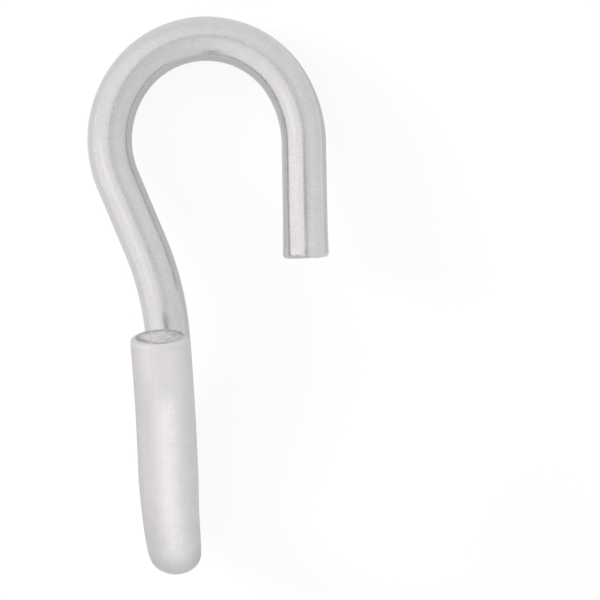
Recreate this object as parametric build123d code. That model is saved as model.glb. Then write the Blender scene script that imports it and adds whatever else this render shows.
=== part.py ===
# Curb chain hook: one length of round stainless wire, bent on a bench tool into an S.
# The big crook hangs from the eye of the bit. The narrow hook below it is turned a quarter
# round, is flattened on its free side and takes a link of the curb chain.
# The hook lies as it comes to rest: crown and heel on the floor, the chain hook open upwards,
# the crook at +Y. The origin is the middle of its footprint on the floor.

import os
from math import asin, atan2, cos, degrees, hypot, radians, sin

from build123d import *

# Wire, in millimetres; both cut ends are flat, with their rims rolled over by tumbling
wire_diameter = 4.0
end_rounding = 0.38
rim_steps = 3

# Upper crook, bent in one plane from its free end; angles are in degrees
leg_straight = 6.45
leg_lean_angle = 1.1
shoulder_radius = 10.95
shoulder_angle = 29.9
crown_radius = 8.4
crown_angle = 110.8
back_radius = 9.55
back_angle = 61.1
slant_straight = 6.4

# The shears that cut the crook's free end spread it: how much wider it is at the cut,
# across the plane of the crook and within it, and how far back the spread reaches
spread_across = 0.5
spread_within = 0.12
spread_length = 3.62
spread_steps = 3

# Corner where the slant becomes the stem, which also leaves the plane of the crook
corner_radius = 21.25
stem_sideways_angle = 2.95
stem_backwards_angle = 14.8
stem_straight = 9.8

# Chain hook, bent in a plane that falls a little short of a true quarter turn
missing_turn_angle = 1.9
heel_radius = 13.3
heel_angle = 23.4
inner_bend_radius = 4.75
inner_bend_angle = 91.9
outer_bend_radius = 6.8
outer_bend_angle = 73.6
tongue_straight = 3.6
flare_radius = 12.1
flare_angle = 26.4
tip_straight = 3.55

# Flattened free side of the chain hook, from its tongue to its tip; the shears cut it off a
# little askew, so that the side towards the stem is the longer
flat_width = 5.25
flat_thickness = 3.05
tip_cut_angle = 5.0
tip_cut_allowance = 0.2

# Directions while the wire is bent: the crook lies in XY, seen against the normal
normal = Vector(0, 0, 1)
upwards = Vector(0, 1, 0)


def turned(direction, about, angle):
    return direction.rotate(Axis(Vector(), about), angle)


class WirePath:
    """Centre line of the wire, laid stretch by stretch from one end."""

    def __init__(self, start, heading):
        self.point = start
        self.heading = heading
        self.centre = start
        self.stretches = []

    def straight(self, length):
        end = self.point + self.heading * length
        self.stretches.append(Edge.make_line(self.point, end))
        self.point = end

    def bend(self, radius, turn, about):
        self.centre = self.point + about.cross(self.heading) * radius
        end = self.centre + turned(self.point - self.centre, about, turn)
        self.stretches.append(Edge.make_tangent_arc(self.point, self.heading, end))
        self.point = end
        self.heading = turned(self.heading, about, turn)

    def section(self, across, width, thickness, askew=0):
        """An oval across the wire here, its width along the direction across."""
        facing = turned(self.heading, across, -askew)
        here = Plane(origin=self.point, x_dir=across, z_dir=facing)
        return here * Ellipse(width / 2, thickness / 2)

    def take(self):
        """Everything laid since the last call, as one wire."""
        laid = Wire(self.stretches)
        self.stretches = []
        return laid


def rolled_rim(path, across, width, thickness, askew=0):
    """The last of the wire before a cut, where its section draws in along a quarter round."""
    sections = [path.section(across, width, thickness, askew)]
    for step in range(rim_steps):
        near = radians(90 * step / rim_steps)
        far = radians(90 * (step + 1) / rim_steps)
        path.straight(end_rounding * (sin(far) - sin(near)))
        inset = 2 * end_rounding * (1 - cos(far))
        sections.append(path.section(across, width - inset, thickness - inset, askew))
    return loft(sections, ruled=True)


def spread_end(path):
    """The end of the crook's leg, outwards from the round wire to the cut."""
    sections = [path.section(normal, wire_diameter, wire_diameter)]
    for step in range(spread_steps):
        path.straight(spread_length / spread_steps)
        spread = ((step + 1) / spread_steps) ** 2
        width = wire_diameter + spread_across * spread
        thickness = wire_diameter + spread_within * spread
        sections.append(path.section(normal, width, thickness))
    return loft(sections) + rolled_rim(path, normal, width, thickness)


def crook(path):
    """Leg, shoulder, crown, back and slant, in one plane."""
    start = path.section(normal, wire_diameter, wire_diameter)
    path.straight(leg_straight)
    path.bend(shoulder_radius, shoulder_angle, normal)
    path.bend(crown_radius, crown_angle, normal)
    crown_top = path.centre + upwards * crown_radius
    path.bend(back_radius, back_angle, normal)
    path.straight(slant_straight)
    return sweep(start, path.take()), crown_top


def stem(path):
    """The corner out of the crook's plane and the straight stem below it."""
    start = path.section(normal, wire_diameter, wire_diameter)
    stem_heading = turned(-upwards, normal, stem_sideways_angle)
    stem_heading = turned(stem_heading, normal.cross(stem_heading), stem_backwards_angle)
    corner_axis = path.heading.cross(stem_heading).normalized()
    path.bend(corner_radius, path.heading.get_angle(stem_heading), corner_axis)
    path.straight(stem_straight)
    return sweep(start, path.take())


def chain_hook(path, across):
    """Heel, bend, tongue and flared tip, all in the plane that across stands on."""
    heel_start = path.section(across, wire_diameter, wire_diameter)
    path.bend(heel_radius, heel_angle, across)
    heel_centre = path.centre
    heel = sweep(heel_start, path.take())

    round_section = path.section(across, wire_diameter, wire_diameter)
    path.bend(inner_bend_radius, inner_bend_angle, across)
    path.bend(outer_bend_radius, outer_bend_angle, across)
    flat_section = path.section(across, flat_width, flat_thickness)
    bend = sweep([round_section, flat_section], path.take(), multisection=True)

    path.straight(tongue_straight)
    path.bend(flare_radius, flare_angle, -across)
    path.straight(tip_straight)
    tongue = sweep(flat_section, path.take())
    square_end = path.section(across, flat_width, flat_thickness)
    path.straight(tip_cut_allowance)
    askew_end = path.section(across, flat_width, flat_thickness, tip_cut_angle)
    tip = loft([square_end, askew_end], ruled=True)
    rim = rolled_rim(path, across, flat_width, flat_thickness, tip_cut_angle)
    return heel + bend + tongue + tip + rim, heel_centre


# The wire, outwards to the crook's cut end and then round to the tip of the chain hook
leg_heading = turned(upwards, normal, leg_lean_angle)
leg_end = spread_end(WirePath(Vector(), -leg_heading))
path = WirePath(Vector(), leg_heading)
crook_wire, crown_top = crook(path)
stem_wire = stem(path)
hook_across = path.heading.cross(normal).normalized()
hook_across = turned(hook_across, path.heading, missing_turn_angle)
hook_wire, heel_centre = chain_hook(path, hook_across)
curb_hook = leg_end + crook_wire + stem_wire + hook_wire

# At rest the floor touches the crown of the crook and the heel of the chain hook, two circles
# seen from the side, so it follows their common tangent
crown_contact = wire_diameter / 2
heel_contact = heel_radius + wire_diameter / 2
run = crown_top.Y - heel_centre.Y
rise = heel_centre.Z - crown_top.Z
slope = degrees(atan2(rise, run))
rest_angle = slope - degrees(asin((heel_contact - crown_contact) / hypot(run, rise)))
curb_hook = curb_hook.rotate(Axis.X, rest_angle)

box = curb_hook.bounding_box()
curb_hook = Pos(-box.center().X, -box.center().Y, -box.min.Z) * curb_hook
print("rest angle in degrees:", round(rest_angle, 2))
print("overall size in mm:", [round(side, 2) for side in box.size])

os.makedirs("parts", exist_ok=True)
export_step(curb_hook, "parts/curb_hook.step")
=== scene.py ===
from math import asin, atan2, cos, degrees, hypot, radians, sin

import bmesh
import bpy
from mathutils import Matrix, Vector, noise


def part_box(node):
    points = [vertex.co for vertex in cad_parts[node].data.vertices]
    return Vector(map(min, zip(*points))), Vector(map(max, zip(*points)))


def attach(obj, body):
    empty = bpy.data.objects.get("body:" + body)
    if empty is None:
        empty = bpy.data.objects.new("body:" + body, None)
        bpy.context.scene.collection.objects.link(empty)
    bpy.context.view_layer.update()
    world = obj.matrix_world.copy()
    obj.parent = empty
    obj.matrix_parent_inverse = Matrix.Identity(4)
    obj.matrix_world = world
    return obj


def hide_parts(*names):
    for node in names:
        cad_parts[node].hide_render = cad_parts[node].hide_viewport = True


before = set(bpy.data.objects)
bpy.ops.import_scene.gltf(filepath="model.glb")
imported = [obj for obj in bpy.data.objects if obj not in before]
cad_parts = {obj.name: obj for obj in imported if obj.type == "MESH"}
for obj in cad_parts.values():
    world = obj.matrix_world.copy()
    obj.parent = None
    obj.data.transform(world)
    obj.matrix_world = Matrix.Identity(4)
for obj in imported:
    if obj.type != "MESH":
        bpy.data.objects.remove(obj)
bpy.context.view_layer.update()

mm = 0.001

print("frame loaded")


# the wire

hookSpec = {  # millimetres and degrees, from the crook's cut end to the tip of the chain hook
    "wireDiameter": 4.0,
    "segments": 72,  # round the wire
    "ringSpacing": 0.3,
    "endRounding": 0.38,
    "sideRounding": 1.5,  # the rim is rolled over that much further at its sides
    "rimRings": 8,
    "cutRings": 12,
    "spreadAcross": 0.5,  # what the shears widened the crook's cut end by
    "spreadWithin": 0.12,
    "spreadLength": 3.62,
    "legCutTilt": 5.0,  # the shears went through a little askew here too, both ways
    "legCutSlant": 1.4,
    "legCutAllowance": 0.12,  # how much of the spread end went with them
    "legStraight": 6.45,
    "legLean": 1.1,
    "shoulderRadius": 10.95,
    "shoulderAngle": 29.9,
    "crownRadius": 8.4,
    "crownAngle": 110.8,
    "backRadius": 9.55,
    "backAngle": 61.1,
    "slantStraight": 6.4,
    "cornerRadius": 21.25,
    "stemSideways": 2.95,
    "stemBackwards": 14.8,
    "stemStraight": 9.8,
    "missingTurn": 1.9,
    "heelRadius": 13.3,
    "heelAngle": 23.4,
    "innerBendRadius": 4.75,
    "innerBendAngle": 91.9,
    "outerBendRadius": 6.8,
    "outerBendAngle": 73.6,
    "tongueStraight": 3.6,
    "flareRadius": 12.1,
    "flareAngle": 26.4,
    "tipStraight": 3.55,
    "flatWidth": 5.25,
    "flatThickness": 3.05,
    "tipCutAngle": 5.0,  # how far askew the shears cut the tip, longer on the stem's side
    "tipCutAllowance": 0.2,
    "pressFade": 0.09,  # per millimetre, from the tongue to the tip
    "waveSize": 4.5,  # slow waves all over the wire
    "waveHeight": 0.007,
    "shearRoughness": 0.03,  # on the faces of the cuts
    "shearGrain": 2.2,  # per millimetre
}


class WireBender:
    # feeds the wire ring by ring from an open ring, and turns or flattens it as it goes

    def __init__(self, mesh, ring, centre, heading, across, size, way=1):
        self.mesh = mesh
        self.way = way  # -1 for the end that is fed the other way
        self.ring = ring
        self.centre = centre
        self.heading = heading
        self.across = across
        self.size = size  # width along across, and thickness
        self.fed = 0.0
        self.pressed = 0.0  # how much the dies have marked it
        self.pressRate = 0.0  # how fast that grows per millimetre
        self.pivot = centre
        self.askew = Matrix.Identity(3)  # how far the ring is off square

    def ringVerts(self):
        # each once, and in the same order in every run
        return list(dict.fromkeys(vert for edge in self.ring for vert in edge.verts))

    def extrude(self):
        made = bmesh.ops.extrude_edge_only(self.mesh, edges=self.ring)["geom"]
        self.ring = [e for e in made if isinstance(e, bmesh.types.BMEdge) and e.is_boundary]
        return self.ringVerts()

    def measure(self, verts, length):
        # where each vertex would be if the wire were straight, for the marks along it
        self.fed += length * self.way
        self.pressed = min(1.0, max(0.0, self.pressed + self.pressRate * length))
        straight = self.mesh.verts.layers.float_vector["straightWire"]
        pressed = self.mesh.verts.layers.float["pressed"]
        for vert in verts:
            vert[straight].z = self.fed
            vert[pressed] = self.pressed

    def reshape(self, verts, size):
        factors = [new / old for new, old in zip(size, self.size)]
        facing = self.askew @ self.heading
        across = self.askew @ self.across
        turn = Matrix((across, facing.cross(across), facing))
        space = turn.to_4x4() @ Matrix.Translation(-self.centre)
        bmesh.ops.scale(self.mesh, vec=(*factors, 1.0), space=space, verts=verts)
        self.size = size

    def feed(self, length, size=None, steps=None):
        size = size or self.size
        steps = steps or max(1, round(length / hookSpec["ringSpacing"]))
        start = self.size
        for step in range(1, steps + 1):
            verts = self.extrude()
            move = self.heading * (length / steps)
            bmesh.ops.translate(self.mesh, vec=move, verts=verts)
            self.centre = self.centre + move
            self.measure(verts, length / steps)
            self.reshape(verts, blendSize(start, size, step / steps))

    def bend(self, radius, angle, axis, taper=None):
        # taper is (first share, last share, end size) of a flattening that runs over several bends
        length = radius * radians(angle)
        steps = max(2, round(length / hookSpec["ringSpacing"]))
        self.pivot = self.centre + axis.cross(self.heading) * radius
        turn = Matrix.Rotation(radians(angle) / steps, 3, axis)
        for step in range(1, steps + 1):
            verts = self.extrude()
            bmesh.ops.rotate(self.mesh, cent=self.pivot, matrix=turn, verts=verts)
            self.centre = self.pivot + turn @ (self.centre - self.pivot)
            self.heading = turn @ self.heading
            self.across = turn @ self.across
            self.measure(verts, length / steps)
            if taper:
                first, last, goal = taper
                share = first + (last - first) * step / steps
                self.reshape(verts, blendSize((hookSpec["wireDiameter"],) * 2, goal, share))

    def skew(self, angle, axis):
        # the last full ring, turned to where the shears went through
        turn = Matrix.Rotation(radians(angle), 3, axis)
        bmesh.ops.rotate(self.mesh, cent=self.centre, matrix=turn, verts=self.ringVerts())
        self.askew = turn @ self.askew

    def cutOff(self):
        # rolled rim, then rings that close in on the middle of the cut
        cutDepth = self.mesh.verts.layers.float["cutDepth"]  # 1 at the edge of the cut, 2 inside
        rounding = hookSpec["endRounding"]
        width, thickness = self.size
        for step in range(1, hookSpec["rimRings"] + 1):
            far = radians(90 * step / hookSpec["rimRings"])
            near = radians(90 * (step - 1) / hookSpec["rimRings"])
            inset = 2 * rounding * (1 - cos(far))
            length = rounding * (sin(far) - sin(near))
            self.feed(length, (width - inset * hookSpec["sideRounding"], thickness - inset), 1)
            for vert in self.ringVerts():
                vert[cutDepth] = step / hookSpec["rimRings"]
        face = self.size
        for step in range(1, hookSpec["cutRings"]):
            verts = self.extrude()
            share = 1 - step / hookSpec["cutRings"]
            self.reshape(verts, (face[0] * share, face[1] * share))
            for vert in verts:
                vert[cutDepth] = 2 - share
        bmesh.ops.pointmerge(self.mesh, verts=self.ringVerts(), merge_co=self.centre)


def makeObject(name, mesh):
    data = bpy.data.meshes.new(name)
    mesh.to_mesh(data)
    mesh.free()
    made = bpy.data.objects.new(name, data)
    bpy.context.collection.objects.link(made)
    return made


def blendSize(start, end, share):
    return tuple(a + (b - a) * share for a, b in zip(start, end))


def turned(direction, axis, angle):
    return Matrix.Rotation(radians(angle), 3, axis) @ direction


def bendHook(spec):
    mesh = bmesh.new()
    straight = mesh.verts.layers.float_vector.new("straightWire")
    mesh.verts.layers.float.new("cutDepth")
    mesh.verts.layers.float.new("pressed")
    normal = Vector((0, 0, 1))
    upwards = Vector((0, 1, 0))
    heading = turned(upwards, normal, spec["legLean"])
    over = heading.cross(normal)
    stand = Matrix((normal, over, heading)).transposed().to_4x4()
    bmesh.ops.create_circle(mesh, segments=spec["segments"], radius=spec["wireDiameter"] / 2)
    for vert in mesh.verts:
        vert[straight] = vert.co
    bmesh.ops.transform(mesh, matrix=stand, verts=mesh.verts)
    ring = list(mesh.edges)
    roundWire = (spec["wireDiameter"],) * 2

    legEnd = WireBender(mesh, ring, Vector(), -heading, normal, roundWire, -1)
    spread = (spec["spreadAcross"], spec["spreadWithin"])
    steps = round(spec["spreadLength"] / spec["ringSpacing"])
    for step in range(1, steps + 1):
        share = (step / steps) ** 2
        size = tuple(a + b * share for a, b in zip(roundWire, spread))
        legEnd.feed((spec["spreadLength"] - spec["legCutAllowance"]) / steps, size, 1)
    legEnd.skew(spec["legCutTilt"], over)
    legEnd.skew(spec["legCutSlant"], normal)
    legEnd.cutOff()

    wire = WireBender(mesh, ring, Vector(), heading, normal, roundWire)
    wire.feed(spec["legStraight"])
    wire.bend(spec["shoulderRadius"], spec["shoulderAngle"], normal)
    wire.bend(spec["crownRadius"], spec["crownAngle"], normal)
    crownTop = wire.pivot + upwards * spec["crownRadius"]
    wire.bend(spec["backRadius"], spec["backAngle"], normal)
    wire.feed(spec["slantStraight"])

    stemHeading = turned(-upwards, normal, spec["stemSideways"])
    stemHeading = turned(stemHeading, normal.cross(stemHeading), spec["stemBackwards"])
    cornerAxis = wire.heading.cross(stemHeading).normalized()
    cornerAngle = degrees(wire.heading.angle(stemHeading))
    wire.bend(spec["cornerRadius"], cornerAngle, cornerAxis)
    wire.feed(spec["stemStraight"])

    # the wire is round here, so the width can be taken afresh along the chain hook's own axis
    hookAxis = turned(wire.heading.cross(normal).normalized(), wire.heading, spec["missingTurn"])
    wire.across = hookAxis
    wire.bend(spec["heelRadius"], spec["heelAngle"], hookAxis)
    heelCentre = wire.pivot
    inner = spec["innerBendRadius"] * radians(spec["innerBendAngle"])
    outer = spec["outerBendRadius"] * radians(spec["outerBendAngle"])
    share = inner / (inner + outer)
    wire.pressRate = 1 / (inner + outer)
    flat = (spec["flatWidth"], spec["flatThickness"])
    wire.bend(spec["innerBendRadius"], spec["innerBendAngle"], hookAxis, (0.0, share, flat))
    wire.bend(spec["outerBendRadius"], spec["outerBendAngle"], hookAxis, (share, 1.0, flat))
    wire.pressRate = 0.0
    wire.feed(spec["tongueStraight"])
    wire.pressRate = -spec["pressFade"]
    wire.bend(spec["flareRadius"], spec["flareAngle"], -hookAxis)
    wire.feed(spec["tipStraight"])
    wire.feed(spec["tipCutAllowance"], steps=1)
    wire.skew(-spec["tipCutAngle"], hookAxis)
    wire.cutOff()

    # at rest the floor touches the crown and the heel, two circles seen from the side
    run = crownTop.y - heelCentre.y
    climb = heelCentre.z - crownTop.z
    restAngle = atan2(climb, run) - asin(spec["heelRadius"] / hypot(run, climb))
    bmesh.ops.rotate(mesh, matrix=Matrix.Rotation(restAngle, 3, "X"), verts=mesh.verts)
    return mesh


def roughen(mesh, spec):
    # drawn wire is never quite true, and the shears leave a torn face
    mesh.normal_update()
    cutDepth = mesh.verts.layers.float["cutDepth"]
    for vert in mesh.verts:
        wave = noise.noise(vert.co / spec["waveSize"]) * spec["waveHeight"]
        torn = noise.noise(vert.co * spec["shearGrain"]) * spec["shearRoughness"]
        vert.co += vert.normal * (wave + torn * min(1.0, vert[cutDepth] ** 3))


def seatOnNode(mesh, node):
    # millimetres to metres, then into the box of the node
    low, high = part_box(node)
    for axis in range(3):
        values = [vert.co[axis] for vert in mesh.verts]
        start = min(values)
        factor = (high[axis] - low[axis]) / (max(values) - start)
        for vert in mesh.verts:
            vert.co[axis] = low[axis] + (vert.co[axis] - start) * factor


def makeHook():
    mesh = bendHook(hookSpec)
    roughen(mesh, hookSpec)
    seatOnNode(mesh, "curb_hook")
    bmesh.ops.recalc_face_normals(mesh, faces=mesh.faces)
    made = makeObject("curb_chain_hook_wire", mesh)
    made.data.shade_smooth()
    return made


hook = makeHook()
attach(hook, "root")
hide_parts("curb_hook")
print("wire bent:", len(hook.data.polygons), "faces")


# the steel

steelSpec = {  # a pair called Reach says where an effect starts and where it is full
    "drawnColour": (0.652, 0.643, 0.645, 1.0),
    "drawnRoughness": 0.2,
    "sheen": 0.12,
    "sheenRoughness": 0.25,
    # the flattened part; its reaches are in shares of the pressing where no millimetres are named
    "pressedReach": (0.0, 0.22),
    "pressedColour": (0.69, 0.67, 0.675, 1.0),  # where the dies squeezed it, duller
    "pressedRoughness": 0.47,
    "paintedSideShade": (0.99, 0.9),  # painted shade, right and left of the pressed face: the left darker
    "paintedSideReach": (-1.8, 1.8),  # millimetres off the middle
    "paintedBendReach": (76.7, 80.3),  # millimetres along the wire: up to there the bend is darker, a painted shade
    "paintedBendFactor": 0.745,
    "paintedHighlightColour": (0.93, 0.905, 0.91, 1.0),  # painted highlight along the middle of the pressed part
    "paintedHighlightReach": (0.25, 0.7),
    "paintedHighlightAt": -0.3,  # millimetres off the middle, and how wide
    "paintedHighlightWidth": (1.5, 0.0),
    "paintedTipColour": (0.82, 0.795, 0.8, 1.0),  # painted highlight, a broad pale patch on the tip
    "paintedTipReach": (0.8, 0.35),
    "paintedTipWidth": (2.1, 0.7),
    # the crook's free leg, polished more than the rest and lightened as a painted highlight;
    # millimetres along the wire
    "legReach": (11.0, 4.0),
    "legPaintedHighlight": 1.05,
    "legRoughness": 0.7,
    "paintedReflectionReach": (12.0, -3.0),  # painted reflection, a dark line along the top of its end
    "paintedReflectionAt": 0.06,
    "paintedReflectionWidth": (0.24, 0.06),
    "paintedReflectionSide": (0.0, 1.0),  # on the upper side only
    "paintedReflectionDepth": 0.22,
    # the cuts; the depth into a cut is 1 at the edge of its face and 2 in the middle
    "shearedReach": (1.0, 1.06),
    "shearedColour": (0.79, 0.77, 0.775),
    "shearedRoughness": 0.55,
    "edgeWander": 0.6,
    "rimColour": (0.4, 0.385, 0.39, 1.0),  # darker along the edge
    "rimReach": (0.9, 1.03),
    "rimFade": (1.42, 1.04),
    "rimPatches": (0.4, 0.55),
    "rimLeast": 0.45,
    # darker in patches over one side of a cut's face
    "darkerSidePatches": (0.36, 0.6),
    "darkerSideReach": (0.3, -1.3),  # millimetres off the middle
    "darkerSideDepth": 0.55,
    # noise: how fine per millimetre, and its detail; bump depths are in metres
    "noiseReach": (0.3, 0.7),
    "lineStretch": (6.0, 6.0, 0.22),  # across and along the wire
    "lineNoise": (1.0, 4.0),
    "lineShade": (0.98, 1.01),
    "lineDepth": 0.0000006,
    "grainNoise": (5.5, 3.0),
    "grainShade": (0.955, 1.035),
    "grainRoughness": (0.85, 1.15),
    "grainDepth": 0.000009,
    "cloudNoise": (0.8, 2.0),
    "cloudShade": (0.985, 1.015),
    "cloudDepth": 0.000006,
    "crumbNoise": (5.0, 5.0),
    "crumbReach": (0.35, 0.65),
    "crumbShade": (0.83, 1.07),
    "crumbDepth": 0.00002,
    "tearNoise": (1.6, 5.0),
    "patchNoise": (0.9, 2.0),
}


def addNode(tree, kind, settings=None, **inputs):
    # inputs are values, or sockets to link from; _0 is a socket's number
    node = tree.nodes.new("ShaderNode" + kind)
    for name, value in (settings or {}).items():
        setattr(node, name, value)
    for name, value in inputs.items():
        socket = node.inputs[int(name[1:]) if name.startswith("_") else name]
        if isinstance(value, bpy.types.NodeSocket):
            tree.links.new(value, socket)
        else:
            socket.default_value = value
    return node


def attribute(tree, name, output="Fac"):
    return addNode(tree, "Attribute", {"attribute_name": name}).outputs[output]


def calculate(tree, operation, *values):
    inputs = {f"_{index}": value for index, value in enumerate(values)}
    return addNode(tree, "Math", {"operation": operation}, **inputs).outputs[0]


def multiply(tree, first, *others):
    for other in others:
        first = calculate(tree, "MULTIPLY", first, other)
    return first


def distance(tree, value, middle):
    return calculate(tree, "ABSOLUTE", calculate(tree, "SUBTRACT", value, middle))


def scaleVector(tree, vector, scale):
    return addNode(tree, "VectorMath", {"operation": "SCALE"}, _0=vector, Scale=scale).outputs[0]


def blendColours(tree, share, first, second):
    node = addNode(tree, "Mix", {"data_type": "RGBA"}, _0=share, _6=first, _7=second)
    return node.outputs[2]


def blendValues(tree, share, first, second):
    return addNode(tree, "Mix", {"data_type": "FLOAT"}, _0=share, _2=first, _3=second).outputs[0]


def rise(tree, value, reach, kind="SMOOTHSTEP"):
    # 0 at the first end of the reach, 1 at the second
    settings = {"interpolation_type": kind}
    return addNode(tree, "MapRange", settings, _0=value, _1=reach[0], _2=reach[1]).outputs[0]


def ramp(tree, value, reach, ends):
    return blendValues(tree, rise(tree, value, reach), *ends)


def noiseOn(tree, vector, scale, detail):
    node = addNode(tree, "TexNoise", Vector=vector, Scale=scale, Detail=detail)
    return node.outputs["Fac"]


def makeSteel(spec):
    material = bpy.data.materials.new("satin_stainless")
    material.use_nodes = True
    tree = material.node_tree
    shader = tree.nodes["Principled BSDF"]

    wire = attribute(tree, "straightWire", "Vector")
    up, across, along = addNode(tree, "SeparateXYZ", Vector=wire).outputs
    pressed = attribute(tree, "pressed")
    cutDepth = attribute(tree, "cutDepth")
    place = scaleVector(tree, addNode(tree, "TexCoord").outputs["Object"], 1 / mm)
    stretched = addNode(tree, "Mapping", Vector=wire, Scale=spec["lineStretch"]).outputs[0]
    lines = noiseOn(tree, stretched, *spec["lineNoise"])
    grain = noiseOn(tree, place, *spec["grainNoise"])
    clouds = noiseOn(tree, place, *spec["cloudNoise"])
    crumbs = noiseOn(tree, place, *spec["crumbNoise"])
    tears = noiseOn(tree, place, *spec["tearNoise"])
    patches = noiseOn(tree, place, *spec["patchNoise"])

    # the face of a cut, with an edge that wanders, darker along that edge and in patches over one
    # side
    wander = calculate(tree, "SUBTRACT", tears, 0.5)
    edge = calculate(tree, "MULTIPLY_ADD", wander, spec["edgeWander"], cutDepth)
    sheared = rise(tree, edge, spec["shearedReach"])
    rim = multiply(
        tree,
        rise(tree, edge, spec["rimReach"]),
        rise(tree, edge, spec["rimFade"]),
        ramp(tree, patches, spec["rimPatches"], (spec["rimLeast"], 1.0)),
    )
    # darker in patches over one side of the cut's face
    darkerSide = multiply(
        tree,
        rise(tree, patches, spec["darkerSidePatches"]),
        rise(tree, across, spec["darkerSideReach"]),
        sheared,
        spec["darkerSideDepth"],
    )
    darkening = calculate(tree, "MAXIMUM", rim, darkerSide)

    # where the dies pressed the wire, with painted shade across it and at the bend, and painted
    # highlights along its middle and on the tip
    dulled = rise(tree, pressed, spec["pressedReach"])
    # painted shade: the left side of the pressed face darker than the right
    sides = ramp(tree, across, spec["paintedSideReach"], spec["paintedSideShade"])
    # painted shade: the round of the bend darker, up to a reach along the wire
    paintedBendShade = ramp(tree, along, spec["paintedBendReach"], (spec["paintedBendFactor"], 1.0))
    # painted highlight: a lighter band along the middle of the pressed part
    paintedHighlight = multiply(
        tree,
        rise(tree, distance(tree, across, spec["paintedHighlightAt"]), spec["paintedHighlightWidth"]),
        rise(tree, pressed, spec["paintedHighlightReach"]),
    )
    # painted highlight: a broad pale patch on the flattened tip
    paintedTipHighlight = multiply(
        tree,
        rise(tree, distance(tree, across, 0.0), spec["paintedTipWidth"]),
        rise(tree, pressed, spec["paintedTipReach"]),
        dulled,
    )

    # the free leg, lighter as a painted highlight, and a painted dark reflection line along its
    # end
    onLeg = rise(tree, along, spec["legReach"])
    # painted reflection: a dark line along the middle of the leg's upper side, deepest at its end
    paintedReflection = multiply(
        tree,
        rise(tree, distance(tree, across, spec["paintedReflectionAt"]), spec["paintedReflectionWidth"]),
        rise(tree, along, spec["paintedReflectionReach"]),
        rise(tree, up, spec["paintedReflectionSide"]),
    )

    shade = multiply(
        tree,
        ramp(tree, lines, spec["noiseReach"], spec["lineShade"]),
        # painted shade across the pressed face
        blendValues(tree, dulled, 1.0, sides),
        # painted shade at the bend
        blendValues(tree, dulled, 1.0, paintedBendShade),
        ramp(tree, clouds, spec["noiseReach"], spec["cloudShade"]),
        ramp(tree, grain, spec["noiseReach"], spec["grainShade"]),
        # painted highlight: the free leg lighter
        blendValues(tree, onLeg, 1.0, spec["legPaintedHighlight"]),
        # painted dark reflection line
        blendValues(tree, paintedReflection, 1.0, 1 - spec["paintedReflectionDepth"]),
    )
    colour = blendColours(tree, dulled, spec["drawnColour"], spec["pressedColour"])
    # painted highlight along the middle of the pressed part
    colour = blendColours(tree, paintedHighlight, colour, spec["paintedHighlightColour"])
    # painted highlight on the tip
    colour = blendColours(tree, paintedTipHighlight, colour, spec["paintedTipColour"])
    colour = scaleVector(tree, colour, shade)
    crumbShade = ramp(tree, crumbs, spec["crumbReach"], spec["crumbShade"])
    torn = scaleVector(tree, spec["shearedColour"], crumbShade)
    colour = blendColours(tree, sheared, colour, torn)
    colour = blendColours(tree, darkening, colour, spec["rimColour"])
    tree.links.new(colour, shader.inputs["Base Color"])

    roughness = blendValues(tree, dulled, spec["drawnRoughness"], spec["pressedRoughness"])
    polish = blendValues(tree, onLeg, 1.0, spec["legRoughness"])
    roughness = multiply(tree, roughness, polish)
    roughness = blendValues(tree, sheared, roughness, spec["shearedRoughness"])
    uneven = ramp(tree, grain, spec["noiseReach"], spec["grainRoughness"])
    tree.links.new(multiply(tree, roughness, uneven), shader.inputs["Roughness"])
    shader.inputs["Metallic"].default_value = 1.0
    shader.inputs["Sheen Weight"].default_value = spec["sheen"]
    shader.inputs["Sheen Roughness"].default_value = spec["sheenRoughness"]

    clean = calculate(tree, "SUBTRACT", 1.0, sheared)
    normal = None
    for height, depth, share in (
        (lines, spec["lineDepth"], clean),
        (grain, spec["grainDepth"], clean),
        (clouds, spec["cloudDepth"], clean),
        (crumbs, spec["crumbDepth"], sheared),
    ):
        bump = addNode(tree, "Bump", Height=height, Distance=depth, Strength=share)
        if normal:
            tree.links.new(normal, bump.inputs["Normal"])
        normal = bump.outputs[0]
    tree.links.new(normal, shader.inputs["Normal"])
    return material


hook.data.materials.append(makeSteel(steelSpec))
print("steel ready")


# floor, light and camera

studioSpec = {
    "floorSize": 3.0,
    "floorColour": (0.63, 0.63, 0.63, 1.0),
    "floorWhite": 1.04,
    "floorGlow": 0.86,  # how much of that white the camera sees in it, and how much the steel
    "floorGlowInSteel": 0.34,
    "cameraHeight": 0.4513,
    "cameraX": 0.00824,
    "cameraY": -0.00055,
    "lens": 300.0,
    "sensorWidth": 36.0,
    "clipping": (0.01, 20.0),
    "tentLevel": 0.88,
    "tentLights": (  # degrees from overhead, degrees round from +X, outer and inner reach, gain
        (60, 185, 75, 15, 0.27),  # the bright side, on the left
        (46, 180, 13, 5, 0.17),  # and its lamp through the cloth
        (50, 75, 60, 10, 0.09),
        (80, 280, 60, 10, 0.03),
        (12, 30, 24, 8, -0.11),  # the camera and its stand, dark against the tent
        (12, 88, 8, 3, -0.22),
    ),
    # all round, and in the first of the lights, on the left
    "tentTints": ((0.995, 1.0, 0.998, 1.0), (1.0, 0.978, 0.984, 1.0)),
    "lampPlace": (-0.5, 0.14, 0.19),
    "lampSize": (0.16, 0.12),
    "lampPower": 3.9,
}


def direction(tilt, turn):
    # degrees from overhead, and degrees round from +X
    tilt, turn = radians(tilt), radians(turn)
    return sin(tilt) * cos(turn), sin(tilt) * sin(turn), cos(tilt)


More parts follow.
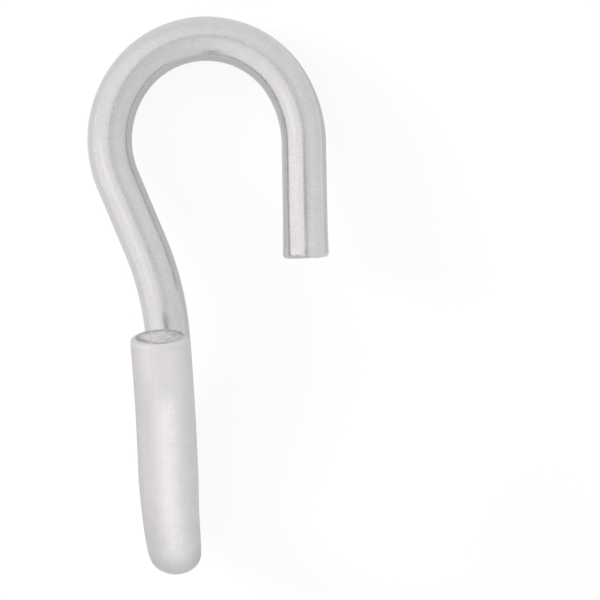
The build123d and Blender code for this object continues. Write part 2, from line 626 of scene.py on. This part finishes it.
def makeWorld(spec):
    # a white tent round the table, brighter to the left
    world = bpy.data.worlds.new("tent")
    world.use_nodes = True
    tree = world.node_tree
    seen = addNode(tree, "TexCoord").outputs["Generated"]
    level = spec["tentLevel"]
    shares = []
    for tilt, turn, outer, inner, gain in spec["tentLights"]:
        aim = direction(tilt, turn)
        dot = addNode(tree, "VectorMath", {"operation": "DOT_PRODUCT"}, _0=seen, _1=aim)
        reach = cos(radians(outer)), cos(radians(inner))
        shares.append(rise(tree, dot.outputs["Value"], reach, "LINEAR"))
        level = calculate(tree, "MULTIPLY_ADD", shares[-1], gain, level)
    tint = blendColours(tree, shares[0], *spec["tentTints"])
    background = tree.nodes["Background"]
    tree.links.new(level, background.inputs["Strength"])
    tree.links.new(tint, background.inputs["Color"])
    bpy.context.scene.world = world


def makeFloor(spec):
    mesh = bmesh.new()
    bmesh.ops.create_grid(mesh, x_segments=1, y_segments=1, size=spec["floorSize"])
    floor = makeObject("floor", mesh)
    material = bpy.data.materials.new("white_paper")
    material.use_nodes = True
    tree = material.node_tree
    tree.nodes.clear()
    diffuse = addNode(tree, "BsdfDiffuse", Color=spec["floorColour"])
    glow = addNode(tree, "Emission", Strength=spec["floorWhite"])
    ray = addNode(tree, "LightPath")
    inCamera = multiply(tree, ray.outputs["Is Camera Ray"], spec["floorGlow"])
    inSteel = multiply(tree, ray.outputs["Is Glossy Ray"], spec["floorGlowInSteel"])
    share = calculate(tree, "MAXIMUM", inCamera, inSteel)
    mix = addNode(tree, "MixShader", _0=share, _1=diffuse.outputs[0], _2=glow.outputs[0])
    addNode(tree, "OutputMaterial", Surface=mix.outputs[0])
    floor.data.materials.append(material)


def makeCamera(spec):
    data = bpy.data.cameras.new("camera")
    data.lens = spec["lens"]
    data.sensor_width = spec["sensorWidth"]
    data.clip_start, data.clip_end = spec["clipping"]
    camera = bpy.data.objects.new("camera", data)
    camera.location = (spec["cameraX"], spec["cameraY"], spec["cameraHeight"])
    bpy.context.collection.objects.link(camera)
    bpy.context.scene.camera = camera


def makeLamp(spec):
    # low on the left, for the shadows on the paper; the steel reflects only the tent
    data = bpy.data.lights.new("left_lamp", "AREA")
    data.shape = "RECTANGLE"
    data.size, data.size_y = spec["lampSize"]
    data.energy = spec["lampPower"]
    lamp = bpy.data.objects.new("left_lamp", data)
    lamp.location = spec["lampPlace"]
    lamp.rotation_euler = lamp.location.to_track_quat("Z", "Y").to_euler()
    lamp.visible_glossy = False
    bpy.context.collection.objects.link(lamp)


makeFloor(studioSpec)
makeWorld(studioSpec)
makeLamp(studioSpec)
makeCamera(studioSpec)
bpy.context.scene.view_settings.view_transform = "Standard"
print("studio ready")
